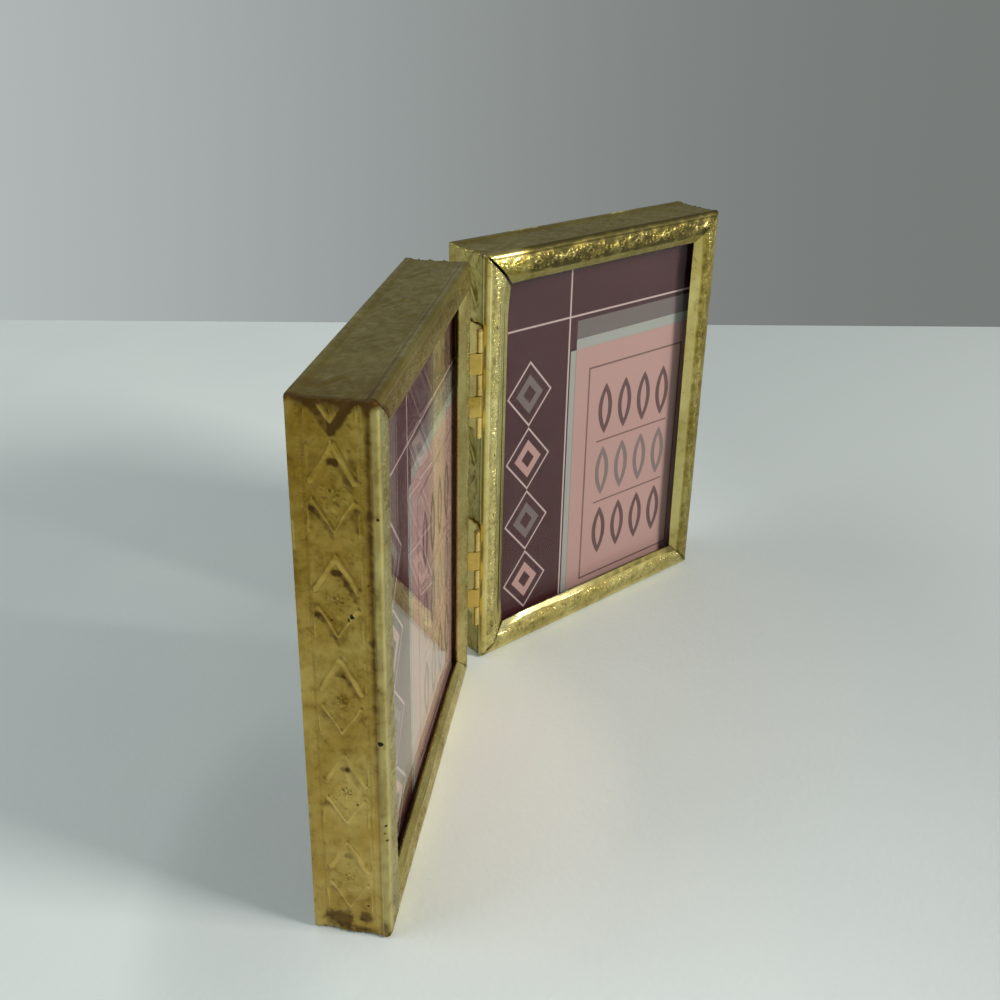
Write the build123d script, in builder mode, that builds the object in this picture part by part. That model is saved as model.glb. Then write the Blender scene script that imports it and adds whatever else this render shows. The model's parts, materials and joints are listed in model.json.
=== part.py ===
from build123d import *
import math
import os

# Hinged double photo frame: two shallow metal box frames joined by two butt hinges.
# Millimetres, +Z up, the frame stands on Z = 0. Rest pose: the frame stands open.
# Each leaf has a face plane: x along the leaf, y up, z out of the front.

# ---------------------------------------------------------------- sizes
leaf_w = 66.0            # outside width of one leaf
leaf_h = 91.0            # outside height
leaf_d = 12.8            # front to back, from the crest of the lip
opening_deg = 137.0      # angle between the two front faces at rest

metal_t = 0.4            # strip thickness
crest_u = 1.6            # bend from the side wall into the lip
crest_rise = 1.6
corner_r = 0.5           # bends of the side walls
crown_w = 4.9            # patterned part of the lip
crown_d = 0.06
lip_w = 6.8              # full lip width
bevel_d = 1.4            # depth of the lip's inner edge
seat_x = 5.0             # return flange that the glass sits on
seat_d = 2.4

glass_w, glass_h, glass_t = 64.4, 89.4, 2.0
print_w, print_h, print_t = 63.5, 88.9, 0.3
pad_w, pad_h, pad_t = 63.9, 89.1, 3.5
board_w, board_h, board_t = 64.6, 89.6, 3.7
facing_t = 0.45

tab_w, tab_l = 7.0, 4.5  # tabs folded over the back

axis_off = 2.0           # hinge axis to each side wall
axis_front_right = 0.1   # hinge axis in front of the right leaf's crest
axis_front_left = 0.9    # hinge axis in front of the left leaf's crest
barrel_r = 0.7
pin_r = 0.34
pin_clear = 0.05         # running clearance in the turning knuckles
pin_fit = 0.02           # clearance in the knuckles that hold the pin
knuckle_pitch = 4.5
knuckle_gap = 0.2
plate_t = 0.45
plate_d = 9.6            # how far back the hinge plates reach
plate_front = 2.3        # their front ends behind the crest
hinge_bottoms = {"lower": 10.5, "upper": 54.4}

rivet_r = 0.6
rivet_head_r = 1.05
rivet_head_t = 0.3
rivet_d = 7.2            # rivets behind the crest
rivet_z = (3.6, 18.7)    # above the hinge's lower end

# hinge axis in plan, so that the whole frame is centred on the origin
hinge_x = 0.147
hinge_y = 6.170

# ---------------------------------------------------------------- planes
swing = math.radians((180.0 - opening_deg) / 2.0)
cs, sn = math.cos(swing), math.sin(swing)

right_x = Vector(cs, -sn, 0)        # from the spine to the free end
right_front = Vector(-sn, -cs, 0)   # out of the right face
left_x = Vector(cs, sn, 0)          # from the free end to the spine
left_front = Vector(sn, -cs, 0)     # out of the left face

axis_pt = Vector(hinge_x, hinge_y, 0)
right_corner = axis_pt + right_x * axis_off - right_front * axis_front_right
left_corner = axis_pt - left_x * (axis_off + leaf_w) - left_front * axis_front_left

faces = {
    "right": Plane(origin=right_corner, x_dir=right_x, z_dir=right_front),
    "left": Plane(origin=left_corner, x_dir=left_x, z_dir=left_front),
}
# plan planes: u outward from the side wall, v towards the front, origin on the spine's front corner
spine_right = right_corner
spine_left = left_corner + left_x * leaf_w
plans = {
    "right": Plane(origin=spine_right, x_dir=right_x * -1, z_dir=(0, 0, 1)),
    "left": Plane(origin=spine_left, x_dir=left_x, z_dir=(0, 0, -1)),
}

os.makedirs("parts", exist_ok=True)
pieces = []


def keep(builder, name):
    builder.part.label = name
    export_step(builder.part, f"parts/{name}.step")
    pieces.append(builder.part)


def layer(face, depth):
    """The leaf's face plane moved back by depth."""
    return face.offset(-depth)


# ---------------------------------------------------------------- leaves
slope = (bevel_d - crown_d) / (lip_w - crown_w)
drop = metal_t * math.sqrt(1 + slope * slope)


def under(u):
    """Back surface of the inner bevel at u from the side wall."""
    return -crown_d - slope * (u - crown_w) - drop


for side, face in faces.items():
    mid_x, mid_y = leaf_w / 2, leaf_h / 2

    # one strip, bent round the four corners, its section drawn at the middle of the bottom side
    section = Plane(
        origin=face.from_local_coords(Vector(mid_x, 0, 0)),
        x_dir=face.y_dir,
        z_dir=face.x_dir,
    )
    with BuildPart() as frame_rim:
        with BuildLine(face) as path:
            Polyline(
                (mid_x, 0), (leaf_w, 0), (leaf_w, leaf_h), (0, leaf_h), (0, 0), (mid_x, 0),
            )
        with BuildSketch(section):
            with BuildLine():
                Line((0, -leaf_d), (0, -crest_rise))
                EllipticalCenterArc(
                    (crest_u, -crest_rise), crest_u, crest_rise, start_angle=90, arc_size=90,
                )
                Polyline(
                    (crest_u, 0),
                    (crown_w, -crown_d),
                    (lip_w, -bevel_d),
                    (lip_w - 0.1, under(lip_w - 0.1)),
                    (seat_x + metal_t, under(seat_x + metal_t)),
                    (seat_x + metal_t, -seat_d),
                    (seat_x, -seat_d),
                    (seat_x, under(seat_x)),
                    (crown_w, under(crown_w)),
                    (crest_u, -metal_t),
                )
                EllipticalCenterArc(
                    (crest_u, -crest_rise), crest_u - metal_t, crest_rise - metal_t,
                    start_angle=90, arc_size=90,
                )
                Polyline((metal_t, -crest_rise), (metal_t, -leaf_d), (0, -leaf_d))
            make_face()
        sweep(path=path.wires()[0], transition=Transition.RIGHT)
        # bends of the side walls
        bends = frame_rim.edges().filter_by(
            lambda e: e.geom_type == GeomType.LINE
            and abs(e.tangent_at(0).dot(face.z_dir)) > 0.999
            and e.length > leaf_d - crest_rise - 0.2
        )
        outer = [
            e for e in bends
            if min(abs(face.to_local_coords(e.center()).X), abs(face.to_local_coords(e.center()).X - leaf_w)) < 0.1
        ]
        inner = [e for e in bends if e not in outer]
        fillet(outer, corner_r)
        fillet(inner, corner_r - metal_t)
        # tabs folded in from the back edge
        with BuildSketch(layer(face, leaf_d - metal_t)):
            with Locations((mid_x - 14, 0), (mid_x + 14, 0), (mid_x - 14, leaf_h), (mid_x + 14, leaf_h)):
                Rectangle(tab_w, 2 * tab_l)
            with Locations((0, mid_y - 24), (0, mid_y + 24), (leaf_w, mid_y - 24), (leaf_w, mid_y + 24)):
                Rectangle(2 * tab_l, tab_w)
            with Locations((mid_x, mid_y)):
                Rectangle(leaf_w, leaf_h, mode=Mode.INTERSECT)
        extrude(amount=-metal_t)
        # rivet holes through the spine wall
        plan = plans[side]
        for base in hinge_bottoms.values():
            for dz in rivet_z:
                at = plan.from_local_coords(Vector(0, -rivet_d, 0)) + Vector(0, 0, base + dz)
                with BuildSketch(Plane(origin=at, x_dir=(0, 0, 1), z_dir=plan.x_dir)):
                    Circle(rivet_r)
                extrude(amount=2, both=True, mode=Mode.SUBTRACT)
    keep(frame_rim, f"{side}_frame_rim")

    with BuildPart() as glass_pane:
        with BuildSketch(layer(face, seat_d)):
            with Locations((mid_x, mid_y)):
                Rectangle(glass_w, glass_h)
        extrude(amount=-glass_t)
        chamfer(glass_pane.edges(), 0.12)
    keep(glass_pane, f"{side}_glass_pane")

    with BuildPart() as photo_insert:
        with BuildSketch(layer(face, seat_d + glass_t)):
            with Locations((mid_x, mid_y)):
                Rectangle(print_w, print_h)
        extrude(amount=-print_t)
    keep(photo_insert, f"{side}_photo_insert")

    with BuildPart() as filler_pad:
        with BuildSketch(layer(face, seat_d + glass_t + print_t)):
            with Locations((mid_x, mid_y)):
                RectangleRounded(pad_w, pad_h, 0.8)
        extrude(amount=-pad_t)
    keep(filler_pad, f"{side}_filler_pad")

    with BuildPart() as back_board:
        with BuildSketch(layer(face, seat_d + glass_t + print_t + pad_t)):
            with Locations((mid_x, mid_y)):
                RectangleRounded(board_w, board_h, 0.8)
        extrude(amount=-board_t)
    keep(back_board, f"{side}_back_board")

    with BuildPart() as back_facing:
        with BuildSketch(layer(face, seat_d + glass_t + print_t + pad_t + board_t)):
            with Locations((mid_x, mid_y)):
                RectangleRounded(board_w, board_h, 0.8)
        extrude(amount=-facing_t)
    keep(back_facing, f"{side}_back_facing")

# ---------------------------------------------------------------- hinges
rows = {"right": (0, 2, 4), "left": (1, 3)}
front_off = {"right": axis_front_right, "left": axis_front_left}
hinge_len = 5 * knuckle_pitch - knuckle_gap

for place, base in hinge_bottoms.items():
    for side, plan in plans.items():
        af = front_off[side]
        up = 1 if plan.z_dir.Z > 0 else -1
        bore_r = pin_r + (pin_fit if side == "right" else pin_clear)
        # the tongue leaves the plate's front end and meets the barrel as a tangent
        start = Vector(plate_t / 2, -plate_front)
        run = Vector(axis_off, af) - start
        lean = math.asin((barrel_r - plate_t / 2) / run.length)
        turn = math.atan2(run.Y, run.X) + lean
        along = Vector(math.cos(turn), math.sin(turn))
        nrm = Vector(-along.Y, along.X)
        touch = start + along * math.sqrt(run.length ** 2 - (barrel_r - plate_t / 2) ** 2)
        strip = [start + nrm * (plate_t / 2), touch + nrm * (plate_t / 2),
                 touch - nrm * (plate_t / 2), start - nrm * (plate_t / 2)]
        with BuildPart() as hinge_leaf:
            # plate on the side wall
            with BuildSketch(plan.offset(up * base)):
                with BuildLine():
                    Polyline(
                        (0, -plate_d), (plate_t, -plate_d), (plate_t, -plate_front), (0, -plate_front),
                        close=True,
                    )
                make_face()
            extrude(amount=up * hinge_len)
            corners = hinge_leaf.edges().filter_by(
                lambda e: abs(e.tangent_at(0).dot(plan.x_dir)) > 0.999
            ).sort_by(lambda e: plan.to_local_coords(e.center()).Y)[0:2]
            fillet(corners, 1.2)
            # tongues that run forward to the barrel, and the knuckles
            for row in rows[side]:
                z0 = base + row * knuckle_pitch
                with BuildSketch(plan.offset(up * z0)):
                    with BuildLine():
                        Polyline([(p.X, p.Y) for p in strip], close=True)
                    make_face()
                    with Locations((start.X, start.Y)):
                        Circle(plate_t / 2)
                    with Locations((axis_off, af)):
                        Circle(barrel_r)
                    with Locations((axis_off, af)):
                        Circle(bore_r, mode=Mode.SUBTRACT)
                extrude(amount=up * (knuckle_pitch - knuckle_gap))
            for dz in rivet_z:
                at = plan.from_local_coords(Vector(0, -rivet_d, 0)) + Vector(0, 0, base + dz)
                with BuildSketch(Plane(origin=at, x_dir=(0, 0, 1), z_dir=plan.x_dir)):
                    Circle(rivet_r)
                extrude(amount=2, both=True, mode=Mode.SUBTRACT)
        keep(hinge_leaf, f"{place}_hinge_{side}_leaf")

    with BuildPart() as hinge_pin:
        with BuildSketch(Plane(origin=(hinge_x, hinge_y, base - 0.3))):
            Circle(pin_r)
        extrude(amount=hinge_len + 0.6)
        # upset ends keep the pin in the barrel
        with BuildSketch(Plane(origin=(hinge_x, hinge_y, base - 0.3))):
            Circle(pin_r + 0.16)
        extrude(amount=0.25)
        with BuildSketch(Plane(origin=(hinge_x, hinge_y, base + hinge_len + 0.05))):
            Circle(pin_r + 0.16)
        extrude(amount=0.25)
    keep(hinge_pin, f"{place}_hinge_pin")

for side, plan in plans.items():
    with BuildPart() as hinge_rivets:
        for base in hinge_bottoms.values():
            for dz in rivet_z:
                at = plan.from_local_coords(Vector(0, -rivet_d, 0)) + Vector(0, 0, base + dz)
                out = Plane(origin=at, x_dir=(0, 0, 1), z_dir=plan.x_dir)
                with BuildSketch(out.offset(-metal_t)):
                    Circle(rivet_r - 0.01)
                extrude(amount=metal_t + plate_t)
                with BuildSketch(out.offset(plate_t)):
                    Circle(rivet_head_r)
                extrude(amount=rivet_head_t, taper=25)
                with BuildSketch(out.offset(-metal_t)):
                    Circle(rivet_head_r - 0.1)
                extrude(amount=-0.25)
    keep(hinge_rivets, f"{side}_hinge_rivets")

box = Compound(children=pieces).bounding_box()
print("low", tuple(round(v, 3) for v in box.min), "high", tuple(round(v, 3) for v in box.max))
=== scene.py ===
import json
import math

import bpy
import numpy as np
from mathutils import Matrix, Vector


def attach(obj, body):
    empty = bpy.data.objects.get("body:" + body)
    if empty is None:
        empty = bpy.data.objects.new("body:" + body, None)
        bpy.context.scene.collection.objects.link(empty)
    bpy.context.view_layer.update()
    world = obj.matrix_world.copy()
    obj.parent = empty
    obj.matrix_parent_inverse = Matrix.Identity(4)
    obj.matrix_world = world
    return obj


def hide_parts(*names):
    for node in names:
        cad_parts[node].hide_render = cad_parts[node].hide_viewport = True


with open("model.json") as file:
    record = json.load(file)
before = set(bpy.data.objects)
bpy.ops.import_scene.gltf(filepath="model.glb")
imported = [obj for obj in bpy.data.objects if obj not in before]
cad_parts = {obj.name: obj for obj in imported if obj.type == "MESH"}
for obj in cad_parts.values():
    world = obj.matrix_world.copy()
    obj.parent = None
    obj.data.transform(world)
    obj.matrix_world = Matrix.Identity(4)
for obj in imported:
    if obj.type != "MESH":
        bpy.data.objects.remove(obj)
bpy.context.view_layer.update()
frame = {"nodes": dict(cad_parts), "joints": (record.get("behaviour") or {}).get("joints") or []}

# ---------------------------------------------------------------- sizes, mm, as in the solids
LEAF_W, LEAF_H, LEAF_D = 66.0, 91.0, 12.8
OPENING = 137.0
CROWN_U, CROWN_D = 4.9, 0.45      # the crease between the patterned lip and the plain bevel
LIP_W, BEVEL_D = 6.8, 1.4
METAL = 0.4
CORNER_R = 0.45
SEAT_X, SEAT_D = 5.0, 2.4
GLASS = (64.4, 89.4, 2.0)
CARD = (63.5, 88.9, 0.3)
PAD = (63.9, 89.1, 3.5)
BOARD = (64.6, 89.6, 3.7)
FACING_T = 0.45
AXIS_OFF, AXIS_FRONT = 2.0, {"right": 0.1, "left": 0.9}
MM = 0.001

hinge = frame["joints"][0]["pos_m"]
AX = np.array([hinge[0] / MM, hinge[1] / MM])
swing = math.radians((180 - OPENING) / 2)
cs, sn = math.cos(swing), math.sin(swing)
X_DIR = {"right": np.array([cs, -sn, 0.0]), "left": np.array([cs, sn, 0.0])}
FRONT = {"right": np.array([-sn, -cs, 0.0]), "left": np.array([sn, -cs, 0.0])}
axis3 = np.array([AX[0], AX[1], 0.0])
CORNER = {
    "right": axis3 + X_DIR["right"] * AXIS_OFF - FRONT["right"] * AXIS_FRONT["right"],
    "left": axis3 - X_DIR["left"] * (AXIS_OFF + LEAF_W) - FRONT["left"] * AXIS_FRONT["left"],
}


def to_row(side, x, y, v):
    """Leaf coordinates in mm (x along the leaf, y up, v out of the front) to the row frame in metres."""
    x, y, v = np.broadcast_arrays(np.asarray(x, float), np.asarray(y, float), np.asarray(v, float))
    p = CORNER[side] + x[..., None] * X_DIR[side] + v[..., None] * FRONT[side]
    p[..., 2] += y
    return p * MM


# ---------------------------------------------------------------- smooth seeded noise for mesh work
def lattice(ix, iy, seed):
    h = (ix * 374761393 + iy * 668265263 + seed * 974634777).astype(np.int64) & 0xFFFFFFFF
    h = (h ^ (h >> 13)) * 1274126177 & 0xFFFFFFFF
    h = (h ^ (h >> 16)) & 0xFFFFFF
    return h / float(0xFFFFFF)


def noise2(x, y, seed):
    """Value noise, 0 to 1."""
    ix, iy = np.floor(x).astype(np.int64), np.floor(y).astype(np.int64)
    fx, fy = x - ix, y - iy
    fx, fy = fx * fx * (3 - 2 * fx), fy * fy * (3 - 2 * fy)
    a = lattice(ix, iy, seed) * (1 - fx) + lattice(ix + 1, iy, seed) * fx
    b = lattice(ix, iy + 1, seed) * (1 - fx) + lattice(ix + 1, iy + 1, seed) * fx
    return a * (1 - fy) + b * fy


def bump(d, w):
    return np.exp(-(d / w) ** 2)


def step(lo, hi, x):
    t = np.clip((x - lo) / (hi - lo), 0, 1)
    return t * t * (3 - 2 * t)


# ---------------------------------------------------------------- the pressed ornament
PITCH = 16.6


def stroke(t, w, t0, w0, t1, w1):
    """Distance from the straight stroke between two points, and how far along it."""
    dt, dw = t1 - t0, w1 - w0
    f = np.clip(((t - t0) * dt + (w - w0) * dw) / (dt * dt + dw * dw), 0, 1)
    return np.hypot(t - t0 - f * dt, w - w0 - f * dw), f


def arc(t, w, t0, w0, t1, w1, sag):
    """Distance from a stroke that sags to one side, and how far along it."""
    dt, dw = t1 - t0, w1 - w0
    n = math.hypot(dt, dw)
    f = np.clip(((t - t0) * dt + (w - w0) * dw) / (n * n), 0, 1)
    k = sag * 4 * f * (1 - f) / n
    return np.hypot(t - t0 - f * dt - k * dw, w - w0 - f * dw + k * dt), f


def bar(d, half, soft=0.18):
    """1 on the stroke, 0 outside, with a soft edge."""
    return step(half + soft, max(half - soft * 0.6, 0.0), d)


def wall_relief(s, w, phase):
    """Height of the side wall's ornament: s along the strip, w from the middle of the band. Units of full relief."""
    # hand-cut tool marks wander a little and are pressed unevenly
    s0, w0 = s, w
    s = s + 0.30 * (noise2(s0 * 0.55, w0 * 0.6 + 9.0, 51) - 0.5)
    w = w + 0.26 * (noise2(s0 * 0.5 + 4.0, w0 * 0.6, 52) - 0.5)
    press = 0.72 + 0.50 * noise2(s0 * 0.42, w0 * 0.5 + 20.0, 53)
    t = (s - phase + PITCH / 2) % PITCH
    aw = np.abs(w)
    up = np.zeros_like(t)
    dn = np.zeros_like(t)
    # upper chevron: a low flat ridge with a thin raised outer edge
    d, f = stroke(t, aw, 1.35, 0.10, 6.6, 2.95)
    up = np.maximum(up, 0.70 * step(0.56, 0.26, d))
    d, f = stroke(t, aw, 0.95, 0.10, 6.3, 3.18)
    up = np.maximum(up, 1.0 * bump(d, 0.19))
    # lower chevron: thin and bright
    d, f = stroke(t, aw, 9.1, 2.80, 13.7, 0.10)
    up = np.maximum(up, 1.0 * bump(d, 0.22))
    d, f = stroke(t, aw, 9.5, 2.95, 14.1, 0.12)
    up = np.maximum(up, 0.6 * step(0.55, 0.25, d))
    for (x0, y0, x1, y1), r, h in (
        ((10.7, 3.42, 14.3, 3.42), 0.17, 0.85),
        ((1.2, 3.50, 6.2, 3.50), 0.13, 0.6),
        ((14.9, 2.3, 15.7, 2.75), 0.16, 0.4),
        ((0.7, 2.4, 1.6, 2.9), 0.14, 0.35),
        ((10.6, 3.95, 14.6, 3.95), 0.12, 0.4),
    ):
        d, f = stroke(t, aw, x0, y0, x1, y1)
        up = np.maximum(up, h * bump(d, r))
    # six-petalled flower, and a ribbed shell under it
    ct = 8.15
    q = np.hypot(t - ct, aw)
    ang = np.arctan2(w, t - ct)
    up = np.maximum(up, 0.85 * step(1.15, 0.75, q) * step(0.1, 0.3, q) * step(0.45, 0.95, np.abs(np.cos(3 * ang))))
    up = np.maximum(up, 0.6 * bump(q, 0.16))
    dn = np.minimum(dn, -0.45 * bump(q - 1.25, 0.22) * step(1.0, -1.0, np.cos(ang)) )
    q = np.hypot((t - 10.25) / 1.05, aw / 0.92)
    rib = 0.75 + 0.25 * np.cos(9 * np.arctan2(w, t - 9.2 + 1e-6))
    up = np.maximum(up, 0.75 * np.sqrt(np.clip(1 - q * q, 0, 1)) * rib)
    dn = np.minimum(dn, -0.45 * bump(q - 1.22, 0.16) * step(9.6, 10.3, t))
    # scrolls beside the flower, and a fine column above it
    for ca, cw2, r in ((7.5, 1.55, 0.34), (9.2, 1.45, 0.30), (11.6, 0.55, 0.28), (5.9, 0.0, 0.30), (5.0, 0.0, 0.24)):
        q = np.hypot(t - ca, aw - cw2)
        up = np.maximum(up, 0.42 * bump(q - r, 0.13))
    # grooves: a deep thumb mark under the apex, then a curved hollow along each arm
    q = np.hypot((t - 3.65) / 0.62, aw / 0.78)
    dn = np.minimum(dn, -1.0 * step(1.25, 0.35, q))
    d, f = arc(t, aw, 3.7, 0.35, 8.1, 2.75, -0.12)
    dn = np.minimum(dn, -(0.95 - 0.45 * f) * step(0.66 - 0.22 * f, 0.05, d))
    d, f = arc(t, aw, 10.6, 2.98, 15.0, 0.2, 0.28)
    dn = np.minimum(dn, -(0.95 - 0.35 * f) * step(0.78 - 0.2 * f, 0.08, d))
    for (x0, y0, x1, y1), r, h in (
        ((1.9, 2.1, 5.6, 3.12), 0.32, 0.55),
        ((16.1, 1.2, 16.1, 3.0), 0.20, 0.35),
        ((14.6, 2.9, 15.6, 3.1), 0.24, 0.3),
        ((0.2, 1.1, 1.0, 1.9), 0.26, 0.4),
    ):
        d, f = stroke(t, aw, x0, y0, x1, y1)
        dn = np.minimum(dn, -h * bump(d, r))
    bead = 0.55 + 0.45 * np.cos(2 * math.pi * s / 0.55)
    up = np.maximum(up, 0.42 * bump(np.abs(w0) - 3.95, 0.14) * bead)
    # fine pitted ground inside the band
    ground = 0.16 * (noise2(s0 * 3.4, w0 * 3.4, 54) - 0.5) * step(4.0, 3.6, np.abs(w0))
    return (up + dn * (1 - 0.75 * np.clip(up, 0, 1))) * press + ground


LIP_PITCH = 13.7


def lip_relief(s, u, phase):
    """Height of the lip's fine ornament: u from the side wall."""
    za = (s - phase + LIP_PITCH / 2) % LIP_PITCH - LIP_PITCH / 2
    w = u - 3.0
    aw = np.abs(w)
    hl, hw = LIP_PITCH / 2, 1.35
    k = 1.0 / math.hypot(1 / hl, 1 / hw)
    tri = np.abs(za) / hl
    d = (tri + aw / hw - 1.0) * k
    dash = 0.62 + 0.38 * np.cos(2 * math.pi * s / 1.05)
    h = 0.8 * bump(d, 0.17) * dash
    h += 0.5 * bump(d + 0.42, 0.15)
    # small diamond with a pit, in the middle of each lozenge
    q = np.abs(za) / 0.95 + aw / 0.62
    h += 0.85 * bump(q - 1.0, 0.30) - 0.4 * bump(q, 0.45)
    # cross and dots where the lozenges meet
    zj = hl - np.abs(za)
    h += 0.75 * (bump(zj * 0.8 - aw * 1.1, 0.2)) * step(1.7, 1.2, zj)
    for cj, cw in ((1.9, 0.95), (1.15, 0.0), (3.1, 1.0), (4.4, 1.05), (2.4, 0.25)):
        h += 0.75 * bump(np.hypot(zj - cj, aw - cw), 0.26)
    h += 0.35 * bump(aw - 1.45, 0.14) * (0.5 + 0.5 * np.cos(2 * math.pi * s / 0.6))
    return h


# ---------------------------------------------------------------- rims
SIDES = ((LEAF_W, 0), (LEAF_H, 1), (LEAF_W, 2), (LEAF_H, 3))
START = (0.0, LEAF_W, LEAF_W + LEAF_H, 2 * LEAF_W + LEAF_H)
STEP_ALONG = {("left", 3): 0.16, ("left", 0): 0.30, ("left", 1): 0.30, ("left", 2): 0.26}     # otherwise 0.24
# inner corners of the lip, from the outer corner: (along x, along y) at (0,0), (W,0), (W,H), (0,H)
INNER = {
    "right": ((6.30, 6.68), (6.18, 6.58), (6.83, 6.66), (6.70, 6.96)),
    "left": ((7.0, 6.6), (6.4, 6.6), (6.5, 7.0), (7.0, 7.0)),
}
# the lip's crease and inner edge bow in or out between the corners: bottom, x = W, top, x = 0
CREASE_BOW = {"right": (1.00, -0.35, 0.25, -0.95), "left": (0.6, -0.4, 0.3, -0.3)}
BOW = {"right": (0.30, 0.15, -0.10, -0.45), "left": (0.1, 0.0, -0.1, 0.0)}
# half of the open mitre at the four corners, at the lip's inner edge
MITRE = {
    "right": (0.17, 0.13, 0.05, 0.40),
    "left": (0.10, 0.06, 0.05, 0.09),
}
BEND_R = 1.2        # bend between wall and lip
BEND_V = -1.55
PHASE = {"left": 4.3, "right": 3.1}
LIP_PHASE = {"left": 2.2, "right": 4.9}
RELIEF = 0.36       # mm, highest ridge above the ground of the wall
RELIEF_LIP = 0.15
BAND_MID = 5.9      # middle of the wall's band, from the back edge


def profile():
    """Closed section loop: (u, v, kind), outside from the back edge to the nose, then inside back again."""
    rows = []
    backs = list(np.linspace(0, 1.5, 5)[:-1]) + list(np.linspace(1.5, 10.2, 55)[:-1]) + list(np.linspace(10.2, LEAF_D + BEND_V, 8)[:-1])
    for b in backs:
        rows.append((0.0, -LEAF_D + float(b), "wall"))
    n = 14
    for i in range(n + 1):
        a = math.pi - (math.pi / 2) * i / n
        rows.append((BEND_R + BEND_R * math.cos(a), BEND_V + (-0.34 - BEND_V) * math.sin(a), "lip"))
    # the lip: a shallow swell up to its crest, then gently down to the crease
    n = 20
    for i in range(1, n + 1):
        u = BEND_R + (CROWN_U - BEND_R) * i / n
        if u < 3.2:
            f = (u - BEND_R) / (3.2 - BEND_R)
            v = -0.34 * (1 - f) ** 1.6
        else:
            f = (u - 3.2) / (CROWN_U - 3.2)
            v = -CROWN_D * f ** 1.7
        rows.append((u, v, "lip"))
    n = 9
    for i in range(1, n + 1):
        f = i / n
        rows.append((CROWN_U + (LIP_W - CROWN_U) * f, -CROWN_D - (BEVEL_D - CROWN_D) * f, "bevel"))
    slope = (BEVEL_D - CROWN_D) / (LIP_W - CROWN_U)
    drop = METAL * math.sqrt(1 + slope * slope)

    def under(u):
        return -CROWN_D - slope * (u - CROWN_U) - drop

    rows.append((LIP_W + 0.0, -BEVEL_D - 0.10, "nose"))
    rows.append((LIP_W - 0.04, -BEVEL_D - 0.26, "nose"))
    rows.append((LIP_W - 0.16, under(LIP_W - 0.1) - 0.02, "nose"))
    rows.append((SEAT_X + METAL + 0.25, under(SEAT_X + METAL + 0.25), "in"))
    rows.append((SEAT_X + METAL, under(SEAT_X + METAL) - 0.15, "in"))
    rows.append((SEAT_X + METAL, -SEAT_D, "in"))
    rows.append((SEAT_X, -SEAT_D, "in"))
    rows.append((SEAT_X, under(SEAT_X), "in"))
    rows.append((3.2, -METAL - 0.36, "in"))
    rows.append((BEND_R + 0.2, -METAL - 0.50, "in"))
    rows.append((0.78, -METAL - 0.78, "in"))
    rows.append((0.60, BEND_V - 0.6, "in"))
    rows.append((0.60, -LEAF_D + 1.2, "in"))
    rows.append((METAL, -LEAF_D, "in"))
    return rows


def mitre_open(u, kind):
    """How far the corner's mitre has opened at a row of the section, 0 to 1."""
    return 0.0 if kind == "in" and u < 0.7 else float(step(0.25, 0.75, u))


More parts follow.
